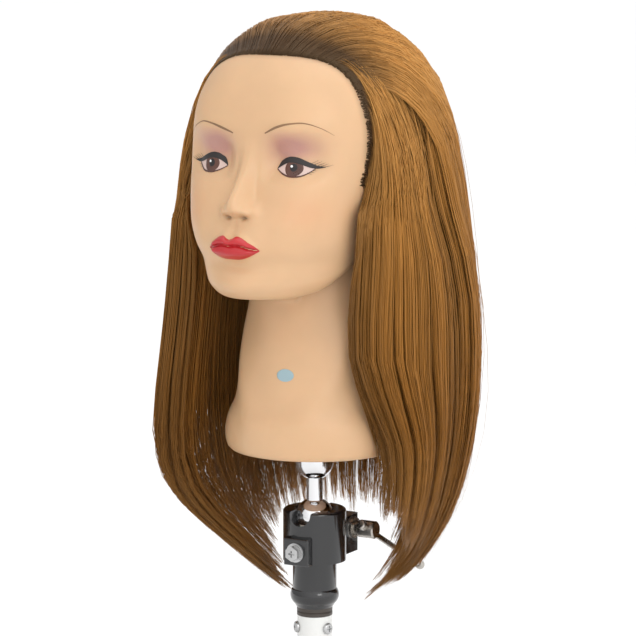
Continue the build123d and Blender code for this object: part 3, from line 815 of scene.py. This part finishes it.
@dataclass(frozen=True)
class Drape:
    """The space that the hair fills, between an outer and an inner surface.

    Attributes:
        outer: height, half width, half depth and middle depth of the outside.
        inner: the same for the inside of the hanging hair.
        front: how near the left hair's front edge hangs, as a share of the outside, by height.
        far_front: the same for the right hair.
        crown: centre of the skull's dome.
    """

    outer: tuple = ((92, 14, 18, 22), (104, 40, 39, 26), (120, 60, 56, 26), (145, 82, 76, 20),
                    (175, 99, 92, 13), (210, 111, 104, 8), (245, 117, 109, 7), (285, 119, 111, 7),
                    (330, 116, 109, 8), (370, 110, 105, 9), (400, 104, 102, 10), (430, 99, 99, 10),
                    (452, 94, 96, 9), (474, 86, 91, 8), (492, 76, 83, 8), (506, 64, 73, 8), (516, 50, 60, 9),
                    (524, 32, 42, 11), (528, 8, 12, 12))
    inner: tuple = ((92, 8, 10, 24), (104, 26, 26, 28), (120, 42, 40, 28), (145, 60, 56, 22),
                    (175, 74, 70, 13), (210, 80, 80, 8), (285, 84, 84, 7), (340, 80, 84, 8), (380, 76, 86, 9),
                    (430, 74, 89, 9), (474, 72, 87, 7), (528, 10, 14, 10))
    front: tuple = ((92, 0.95), (150, 0.86), (210, 0.80), (250, 0.74), (290, 0.715), (320, 0.735),
                    (350, 0.80), (385, 0.90), (420, 0.955), (450, 0.98), (480, 1.0))
    far_front: tuple = ((92, 0.85), (112, 0.98), (130, 0.98), (147, 1.07), (164, 1.12), (182, 1.17),
                        (199, 1.17), (225, 1.12), (250, 1.08), (321, 1.01), (373, 1.03), (425, 1.04),
                        (480, 1.0))
    crown: tuple = (0.0, 8.0, 430.0)

    def hang(self, turn: np.ndarray, z: np.ndarray, depth: np.ndarray, side: np.ndarray) -> np.ndarray:
        """Gives points of the hanging hair.

        Args:
            turn: angle from the front towards the left side, radians.
            z: heights.
            depth: 0 on the outside, 1 on the inside.
            side: 1 for the left side's shape, -1 for the right side's, which hangs further forward.

        Returns:
            The points, on the left side.
        """
        sizes = []
        for column in (1, 2, 3):
            out = through([(r[0], r[column]) for r in self.outer], z)
            within = through([(r[0], r[column]) for r in self.inner], z)
            sizes.append(out + (within - out) * depth)
        wide, deep, middle = sizes
        degrees = np.degrees(np.abs(turn))
        left = 0.5 + 0.5 * side
        tuck = 17.0 * left * smoothstep(292.0, 214.0, z) * (1.0 - smoothstep(48.0, 92.0, degrees))
        sweep = 13.0 * smoothstep(425.0, 330.0, z) * smoothstep(55.0, 86.0, degrees)
        sweep = sweep * (1.0 - smoothstep(100.0, 160.0, degrees))
        around = np.radians(degrees + tuck + sweep)
        far, near = through(self.far_front, z), through(self.front, z)
        to_back = smoothstep(60.0, 100.0, degrees) * smoothstep(150.0, 185.0, z)
        pull = left * (near + (1.0 - near) * smoothstep(44.0, 86.0, degrees))
        pull = pull + (1.0 - left) * (far + (1.0 - far) * to_back)
        x, y = wide * pull * np.sin(around), middle - deep * pull * np.cos(around)
        return np.stack([x, y, z + 0 * turn], axis=-1)

    def outside(self) -> bpy.types.Object:
        """Returns the hair's outer surface as a mesh, for measuring."""
        turn = np.radians(np.linspace(-180, 180, 73)[:-1])
        z = np.concatenate([np.linspace(92, 500, 60), np.linspace(503, 527.9, 20)])
        turn = turn[None, :] + 0 * z[:, None]
        side = np.where(turn < 0, -1.0, 1.0)
        points = self.hang(turn, z[:, None] + 0 * turn, 0 * turn, side)
        points[..., 0] *= side
        return grid_mesh("measure", points, wrap=True, caps=True)


class Root(Enum):
    """Where a family of strands grows."""

    FRINGE = "fringe"
    CROWN = "crown"
    TEMPLE = "temple"
    UNDER = "under"
    STRAY = "stray"


@dataclass(frozen=True)
class Family:
    """One family of strands that makes one piece.

    Attributes:
        name: the piece's name.
        count: how many strands.
        root: where they grow.
        side: 1 for the left, -1 for the right, 0 for both.
        stands_for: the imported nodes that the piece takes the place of.
    """

    name: str
    count: int
    root: Root
    side: int = 0
    stands_for: tuple = ()


@dataclass
class Comb:
    """How one family's strands run: unit directions from the crown's centre, angles, heights and side."""

    root: np.ndarray
    bend: np.ndarray
    land: np.ndarray
    depth: np.ndarray
    tip: np.ndarray
    shoulder: float
    side: np.ndarray


class Hair:
    """All the strands: grown on the scalp, combed back from the face and hanging.

    STEPS is the points per strand, RADIUS its radius, RIDGE the height of the combed waves and LOCK the
    width of a lock in degrees. OVER_DOME and DOWN are the shares of the way over the head and down where a
    strand's knots lie. Strands keep SKIN_GAP off the skin above NECK_FOOT, measured from NECK_AXIS. LEFT_TIPS
    and RIGHT_TIPS give the lowest tips by landing angle, and BAR the start, end and clearance of the clamp
    screw's bar.
    """

    STEPS = 22
    RADIUS = 0.30
    RIDGE = 1.1
    LOCK = 4.6
    OVER_DOME = (0.0, 0.10, 0.23, 0.38, 0.55, 0.72, 0.87)
    DOWN = (0.14, 0.30, 0.47, 0.63, 0.77, 0.89, 1.0)
    NECK_AXIS = (0.0, 6.0)
    NECK_FOOT = 212.0
    SKIN_GAP = 2.0
    LEFT_TIPS = ((44, 168), (60, 162), (75, 142), (95, 120), (120, 101), (140, 108), (160, 138), (182, 150))
    RIGHT_TIPS = ((44, 108), (60, 103), (75, 110), (90, 124), (110, 144), (140, 152), (182, 150))
    BAR = ((27.0, 31.0, 150.0), (27.0, 118.0, 103.7), 5.5)
    FAMILIES = (
        Family("hair_fringe_left", 1650, Root.FRINGE, 1), Family("hair_fringe_right", 1650, Root.FRINGE, -1),
        Family("hair_crown_left", 1650, Root.CROWN, 1, ("hair_crown",)),
        Family("hair_crown_right", 1650, Root.CROWN, -1),
        Family("hair_temple_left", 1650, Root.TEMPLE, 1, ("hair_left",)),
        Family("hair_temple_right", 1650, Root.TEMPLE, -1, ("hair_right",)),
        Family("hair_under_left", 1650, Root.UNDER, 1, ("hair_back",)),
        Family("hair_under_right", 1650, Root.UNDER, -1),
        Family("hair_strays", 380, Root.STRAY),
    )

    def __init__(self, form: HeadForm, hairline: Hairline, drape: Drape, skin: bpy.types.Object) -> None:
        """Keeps the forms that the hair follows and measures the scalp and the hair's outside."""
        self.form = form
        self.hairline = hairline
        self.drape = drape
        self.scalp = Reach(skin, drape.crown)
        outside = drape.outside()
        self.outside = Reach(outside, drape.crown)
        bpy.data.objects.remove(outside)
        waves = np.random.default_rng(SEED)
        self.wave = [(k, waves.random() * 6.3, 1.0 / k ** 0.35) for k in (5.3, 9.1, 14.7, 23.9, 38.0, 61.0)]

    def build(self) -> None:
        """Grows every family and lets it ride with the head."""
        for number, family in enumerate(self.FAMILIES):
            piece = self.grow(family, np.random.default_rng(SEED + 10 * number))
            dress(piece, HAIR.make())
            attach(piece, "head")
            if family.stands_for:
                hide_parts(*family.stands_for)
            LOG.info("hair piece %s: %d strands", family.name, family.count)

    def ripple(self, turn: np.ndarray, shift: float = 0.0) -> np.ndarray:
        """Returns an uneven wave over angles, about -1 to 1, that parts the hair into locks."""
        total = sum(w * np.sin(k * turn + p + shift * k) for k, p, w in self.wave)
        return total / 1.6

    def comb(self, family: Family, side: np.ndarray, rng: np.random.Generator) -> Comb:
        """Chooses where each strand grows and how it runs.

        Args:
            family: the family to grow.
            side: 1 for each strand on the left, -1 on the right.
            rng: its random numbers.

        Returns:
            The family's comb, on the left side.
        """
        count = family.count
        first, second, depth = rng.random(count), rng.random(count), rng.random(count)
        spread = rng.normal(0, 1, count)
        centre = np.array(self.drape.crown)
        shoulder = 430.0
        if family.root in (Root.FRINGE, Root.STRAY):
            x = 61.0 * first ** 0.9
            high = self.arch_height(x)
            start = np.stack([x, self.form.face(x, high)[..., 1], high], axis=-1)
            root = self.tilt_back(self.unit(start - centre), 0.6 + 15.0 * second ** 1.8)
            bend = self.tilt_back(root, 34.0 - 12.0 * first)
            land = 178.0 - 87.0 * first ** 0.75 + 1.6 * spread
            depth = 0.34 * depth ** 1.2 * (1.0 - 0.75 * smoothstep(104.0, 93.0, land))
        elif family.root is Root.CROWN:
            turn = np.radians(70.0 + 110.0 * first)
            tilt = np.radians(8.0 + 62.0 * second ** 0.8)
            root = self.compass(turn, tilt)
            bend = self.tilt_back(root, 12.0)
            land = 88.0 + 92.0 * first + 4.0 * spread
            depth = 0.10 + 0.45 * depth
        elif family.root is Root.TEMPLE:
            z = 498.0 - 84.0 * first
            x = self.arch_width(np.maximum(z, self.hairline.foot))
            x = np.minimum(x, 0.957 * through(self.form.half_width, z))
            behind = 0.3 + 17.0 * second ** 1.3
            start = self.form.face(x, z)
            root = self.tilt_back(self.unit(start - centre), behind, np.array([0.25, 0.0, 0.97]))
            high = np.clip((z - 430.0) / 67.0, 0.0, 1.0)
            back = np.clip(0.55 * behind / 17.4 + 0.50 * high, 0.0, 1.0)
            bend = self.tilt_back(root, 6.0 + 16.0 * back, np.array([0.6, 0.0, 0.8]))
            land = 47.0 + 41.0 * np.clip(back + 0.10 * spread, 0.0, 1.0)
            depth = 0.14 + 0.60 * depth + 0.16 * smoothstep(72.0, 86.0, land)
            shoulder = 392.0
        else:
            turn = np.radians(66.0 + 114.0 * first)
            tilt = np.radians(70.0 + 38.0 * second)
            root = self.compass(turn, tilt)
            bend = root * [1.0, 1.0, 0.8]
            land = 66.0 + 114.0 * first + 4.0 * spread
            depth = 0.45 + 0.55 * depth
            shoulder = 372.0
        land = np.radians(np.clip(land, 44.0, 182.0))
        degrees = np.degrees(land)
        lowest = np.where(side > 0, through(self.LEFT_TIPS, degrees), through(self.RIGHT_TIPS, degrees))
        tip = lowest + 58.0 * rng.random(count) ** 2.4 + 14.0 * depth
        return Comb(root, self.unit(bend), land, depth, tip, shoulder, side)

    def arch_height(self, x: np.ndarray) -> np.ndarray:
        """Returns the hairline's height over the forehead."""
        line = self.hairline
        share = np.clip(1.0 - np.abs(x / line.half_width) ** line.power, 0.0, 1.0)
        return line.foot + line.rise * share ** (1.0 / line.power)

    def arch_width(self, z: np.ndarray) -> np.ndarray:
        """Returns the hairline's half width beside the forehead."""
        line = self.hairline
        share = np.clip(1.0 - ((z - line.foot) / line.rise) ** line.power, 0.0, 1.0)
        return line.half_width * share ** (1.0 / line.power)

    @staticmethod
    def compass(turn: np.ndarray, tilt: np.ndarray) -> np.ndarray:
        """Returns unit directions, turned from the front to the left and tilted from straight up."""
        return np.stack([np.sin(turn) * np.sin(tilt), -np.cos(turn) * np.sin(tilt), np.cos(tilt)], axis=-1)

    @staticmethod
    def unit(v: np.ndarray) -> np.ndarray:
        """Returns vectors scaled to length 1."""
        return v / (np.linalg.norm(v, axis=-1, keepdims=True) + 1e-9)

    def tilt_back(self, way: np.ndarray, degrees: np.ndarray, up: np.ndarray | None = None) -> np.ndarray:
        """Turns unit directions towards the back of the head.

        Args:
            way: the directions.
            degrees: how far each one turns.
            up: the side of the way to the back, None for over the top.

        Returns:
            The turned directions.
        """
        lean = np.array([0.0, 1.0, 0.0])
        if up is not None:
            lean = self.unit(np.cross(np.cross(up, lean), up))
        side = lean - way * (way @ lean)[:, None]
        angle = np.radians(degrees) + np.zeros(len(way))
        return way * np.cos(angle)[:, None] + self.unit(side) * np.sin(angle)[:, None]

    def path(self, comb: Comb) -> np.ndarray:
        """Lays strands from their roots over the dome and down to their tips.

        Args:
            comb: how the strands run.

        Returns:
            An array of strands by steps by 3, on the left side.
        """
        centre = np.array(self.drape.crown)
        level = comb.shoulder + 0 * comb.land
        landing = self.drape.hang(comb.land, level, comb.depth, comb.side)
        mirror = np.stack([comb.side, 1.0 + 0 * comb.side, 1.0 + 0 * comb.side], axis=-1)
        goal = self.unit(landing - centre)
        stages = []
        for share in self.OVER_DOME:
            toward = comb.root * (1 - share) ** 2
            toward = toward + comb.bend * (2 * share * (1 - share)) + goal * share ** 2
            toward = self.unit(toward)
            run = 95.0 * np.arccos(np.clip((toward * comb.root).sum(-1), -1, 1))
            floor = self.scalp(toward)
            loft = np.maximum(self.outside(toward * mirror) - floor, 3.0) * (1.0 - 0.92 * comb.depth)
            rise = 1.0 - np.exp(-(run / 24.0) ** 1.4)
            stages.append(centre + toward * (floor + 0.3 + loft * rise)[:, None])
        stages.append(self.clear(landing, comb.side))
        for share in self.DOWN:
            z = comb.shoulder + (comb.tip - comb.shoulder) * share
            stages.append(self.clear(self.drape.hang(comb.land, z, comb.depth, comb.side), comb.side))
        return self.spline(np.stack(stages, axis=1), self.STEPS)

    def clear(self, points: np.ndarray, side: np.ndarray) -> np.ndarray:
        """Pushes points out of the skin and, on the left, aside from the clamp screw's bar.

        Args:
            points: the points, on the left side.
            side: 1 where the strand is on the left.

        Returns:
            The points moved.
        """
        x, y, z = points[..., 0], points[..., 1], points[..., 2]
        middle = np.array(self.NECK_AXIS)
        distance = np.hypot(x - middle[0], y - middle[1]) + 1e-6
        turn = np.arctan2(x, -(y - middle[1]))
        inside = np.clip(z, 216.0, 520.0)
        sx, sy = self.form.section(turn, inside)
        skin = np.hypot(sx - middle[0], sy - middle[1])
        want = np.where(z > self.NECK_FOOT, np.maximum(distance, skin + self.SKIN_GAP), distance)
        scale = want / distance
        moved = np.stack([x * scale, middle[1] + (y - middle[1]) * scale, z], axis=-1)
        start, end = np.array(self.BAR[0]), np.array(self.BAR[1])
        run = end - start
        share = np.clip((moved - start) @ run / (run @ run), 0.0, 1.0)
        away = (moved - start - share[..., None] * run) * [1.0, 0.3, 1.0]
        gap = np.linalg.norm(away, axis=-1)
        push = np.where(side > 0, np.clip(self.BAR[2] - gap, 0.0, None), 0.0) / (gap + 1e-6)
        return moved + away * push[..., None]

    @staticmethod
    def spline(knots: np.ndarray, steps: int) -> np.ndarray:
        """Returns points at even steps on smooth curves through knots, strands by knots by 3."""
        count = knots.shape[1]
        place = np.linspace(0, count - 1.0001, steps)
        i = place.astype(int)
        t = (place - i)[None, :, None]
        before = knots[:, np.maximum(i - 1, 0)]
        here, there = knots[:, i], knots[:, i + 1]
        after = knots[:, np.minimum(i + 2, count - 1)]
        a = 2 * here + (there - before) * t
        b = (2 * before - 5 * here + 4 * there - after) * t ** 2
        c = (3 * here - before - 3 * there + after) * t ** 3
        return 0.5 * (a + b + c)

    def grow(self, family: Family, rng: np.random.Generator) -> bpy.types.Object:
        """Grows one family as one piece.

        Args:
            family: the family to grow.
            rng: its random numbers.

        Returns:
            The piece.
        """
        count = family.count
        side = np.full(count, float(family.side)) if family.side else rng.choice([-1.0, 1.0], count)
        comb = self.comb(family, side, rng)
        shift = 3.0 * np.mean(side) + len(family.name)
        cell = np.round(np.degrees(comb.land) / self.LOCK + 0.9 * self.ripple(comb.land, shift)) * self.LOCK
        layer = np.round(comb.depth * 4.0) / 4.0
        key = np.sin(cell * 12.9898 + layer * 78.233 + shift) * 43758.5453
        key = key - np.floor(key)
        together = Comb(comb.root, comb.bend, np.radians(cell + 5.0 * (key - 0.5)),
                        np.clip(layer + 0.12 * (key - 0.5), 0, 1),
                        comb.tip + 34.0 * (key - 0.5), comb.shoulder, side)
        own, lock = self.path(comb), self.path(together)
        share = np.linspace(0, 1, self.STEPS)
        pull = (0.12 * smoothstep(0.25, 0.55, share) + 0.40 * smoothstep(0.55, 1.0, share))[None, :, None]
        paths = own + (lock - own) * pull
        ridge = self.RIDGE * self.ripple(comb.land + 0.3 * comb.depth, shift)[:, None]
        ridge = ridge * smoothstep(0.12, 0.4, share)[None]
        outward = self.unit(paths * [1, 1, 0] - np.array([0.0, 6.0, 0.0]))
        paths = paths + outward * ridge[..., None]
        paths = paths + self.stir(paths, share, rng, family.root is Root.STRAY)
        paths[..., 0] *= side[:, None]
        taper = self.RADIUS * (1.0 - 0.75 * smoothstep(0.60, 1.0, share))
        radii = taper[None, :] * (0.75 + 0.5 * rng.random((count, 1)))
        if family.root is Root.STRAY:
            radii = radii * 0.5
        piece = tube_mesh(family.name, paths, radii)
        tone_and_painted_shade = 0.84 + 0.28 * rng.random(count) + 0.20 * (key - 0.5) + 0.08 * self.ripple(comb.land, shift)
        if family.root is Root.TEMPLE:
            degrees = np.degrees(comb.land)
            # painted shade on the temple strands that hang beside the face
            tone_and_painted_shade = tone_and_painted_shade * (0.60 + 0.40 * smoothstep(48.0, 62.0, degrees))
            # painted shade on the temple strands under the crease of the top sheet
            tone_and_painted_shade = tone_and_painted_shade * (1.0 - 0.42 * smoothstep(74.0, 86.0, degrees))
        paint(piece, "tone_and_painted_shade", np.repeat(np.repeat(tone_and_painted_shade, self.STEPS), 3))
        paint(piece, "along", np.repeat(np.tile(share, count), 3))
        return piece

    def stir(self, paths: np.ndarray, share: np.ndarray, rng: np.random.Generator, stray: bool) -> np.ndarray:
        """Returns each strand's own slight waviness, larger for stray strands."""
        count = len(paths)
        size = 4.5 if stray else 0.8
        total = np.zeros_like(paths)
        for turns in (1.3, 2.9):
            phase = rng.random((count, 1)) * 2 * math.pi
            amount = rng.normal(0, size / turns, (count, 1)) * smoothstep(0.05, 0.8, share)[None, :]
            wave = amount * np.sin(turns * 2 * math.pi * share[None, :] + phase)
            spin = rng.random((count, 1)) * 2 * math.pi
            total[..., 0] += wave * np.cos(spin)
            total[..., 1] += wave * np.sin(spin)
        return total


# ---------------------------------------------------------------- the holder

@dataclass(frozen=True)
class Holder:
    """The stand's top end and the ball joint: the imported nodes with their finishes."""

    finishes: tuple = (
        (WHITE_PAINT, ("post_tube",)),
        (ZINC, ("tube_screws", "seat_spring", "pan_bolt", "pan_washer", "clamp_nut", "lock_washer",
                "plate_screws")),
        (BROWN_PLASTIC, ("post_ring",)),
        (BLACK_PLASTIC, ("post_sleeve", "socket_barrel")),
        (NYLON, ("ball_seat", "peg_sleeve", "neck_socket")),
        (BRIGHT_STEEL, ("lock_screw", "tommy_bar", "bar_cap_upper", "bar_cap_lower")),
        (CHROME, ("swivel_ball", "ball_stem", "stem_collar")),
        (PLATE_PLASTIC, ("base_plate",)),
    )

    def dress(self) -> None:
        """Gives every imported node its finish."""
        for finish, names in self.finishes:
            for name in names:
                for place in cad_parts[name].material_slots:
                    place.link = "OBJECT"
                    place.material = finish.make()
                LOG.info("node %s: %s", name, finish.name)


# ---------------------------------------------------------------- studio

@dataclass(frozen=True)
class Studio:
    """Floor, soft lights and camera.

    Attributes:
        azimuth: the camera's turn from the front towards the left side, degrees.
        distance: from the post's axis to the camera, metres.
        camera_height: metres.
        aim: height and sideways shift of the point at the picture's middle, metres.
        view_width: width of the view at the post's axis, metres.
        bright_side: the direction that the surround is brightest in.
        level: the surround's mean brightness.
        contrast: how much brighter the bright side is than the mean.
        floor_half: half width of the floor, millimetres.
        floor_level: height of the floor, millimetres.
        lamps: name, place in metres, size in metres and power in watts of each lamp.
    """

    azimuth: float = 30.0
    distance: float = 2.4
    camera_height: float = 0.690
    aim: tuple = (0.3085, 0.0024)
    view_width: float = 0.458
    bright_side: tuple = (0.75, -0.35, 0.55)
    level: float = 0.95
    contrast: float = 0.66
    floor_half: float = 30000.0
    floor_level: float = -0.6
    lamps: tuple = (("key", (1.8, -1.2, 1.5), 0.8, 7.0), ("top", (0.1, 0.4, 2.2), 1.2, 5.0))

    def build(self) -> None:
        """Makes the stage, the lights and the camera."""
        self.floor()
        self.lights()
        self.camera()

    def floor(self) -> None:
        """Makes a pale floor under the post."""
        half = self.floor_half
        rows = [[(x, y, self.floor_level) for x in (-half, half)] for y in (-half, half)]
        floor = grid_mesh("floor", np.array(rows), wrap=False)
        finish = Finish("floor_paint", (0.9, 0.9, 0.9), 0.6, Grain.MOULDED, shade=0.99)
        floor.data.materials.append(finish.make())

    def lights(self) -> None:
        """Makes a soft surround, brighter on one side, and two soft lamps."""
        world = bpy.data.worlds.new("studio")
        world.use_nodes = True
        nodes, links = world.node_tree.nodes, world.node_tree.links
        place = nodes.new("ShaderNodeTexCoord").outputs["Generated"]
        toward = nodes.new("ShaderNodeVectorMath")
        toward.operation = "DOT_PRODUCT"
        toward.inputs[1].default_value = self.bright_side
        links.new(place, toward.inputs[0])
        level = nodes.new("ShaderNodeMath")
        level.operation = "MULTIPLY_ADD"
        level.inputs[1].default_value, level.inputs[2].default_value = self.contrast, self.level
        links.new(toward.outputs["Value"], level.inputs[0])
        links.new(level.outputs[0], nodes["Background"].inputs["Strength"])
        nodes["Background"].inputs["Color"].default_value = (1.0, 1.0, 1.0, 1.0)
        bpy.context.scene.world = world
        for name, place, size, power in self.lamps:
            lamp = bpy.data.lights.new(name, "AREA")
            lamp.energy = power
            lamp.size = size
            obj = bpy.data.objects.new(name, lamp)
            obj.location = place
            obj.rotation_euler = (Vector((0, 0, 0.35)) - Vector(place)).to_track_quat("-Z", "Y").to_euler()
            bpy.context.scene.collection.objects.link(obj)

    def camera(self) -> None:
        """Makes the camera."""
        turn = math.radians(self.azimuth)
        right = Vector((math.cos(turn), math.sin(turn), 0.0))
        place = Vector((math.sin(turn) * self.distance, -math.cos(turn) * self.distance, self.camera_height))
        target = Vector((0, 0, self.aim[0])) + right * self.aim[1]
        data = bpy.data.cameras.new("camera")
        data.sensor_width = 36.0
        data.lens = data.sensor_width * (target - place).length / self.view_width
        data.clip_end = 50.0
        camera = bpy.data.objects.new("camera", data)
        camera.location = place
        camera.rotation_euler = (target - place).to_track_quat("-Z", "Y").to_euler()
        bpy.context.scene.collection.objects.link(camera)
        bpy.context.scene.camera = camera
        bpy.context.scene.view_settings.view_transform = "Standard"


def plain(box: tuple) -> list:
    """Returns a box's corners as lists of numbers."""
    return [[float(c) for c in corner] for corner in box]


def main() -> None:
    """Builds the studio, the head, the hair and the holder."""
    logging.basicConfig(level=logging.INFO, format="%(name)s: %(message)s")
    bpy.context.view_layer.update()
    Studio().build()
    form, hairline = HeadForm(), Hairline()
    head = Head(form, hairline)
    head.build()
    Hair(form, hairline, Drape(), head.shell).build()
    Holder().dress()


if __name__ == "__main__":
    main()
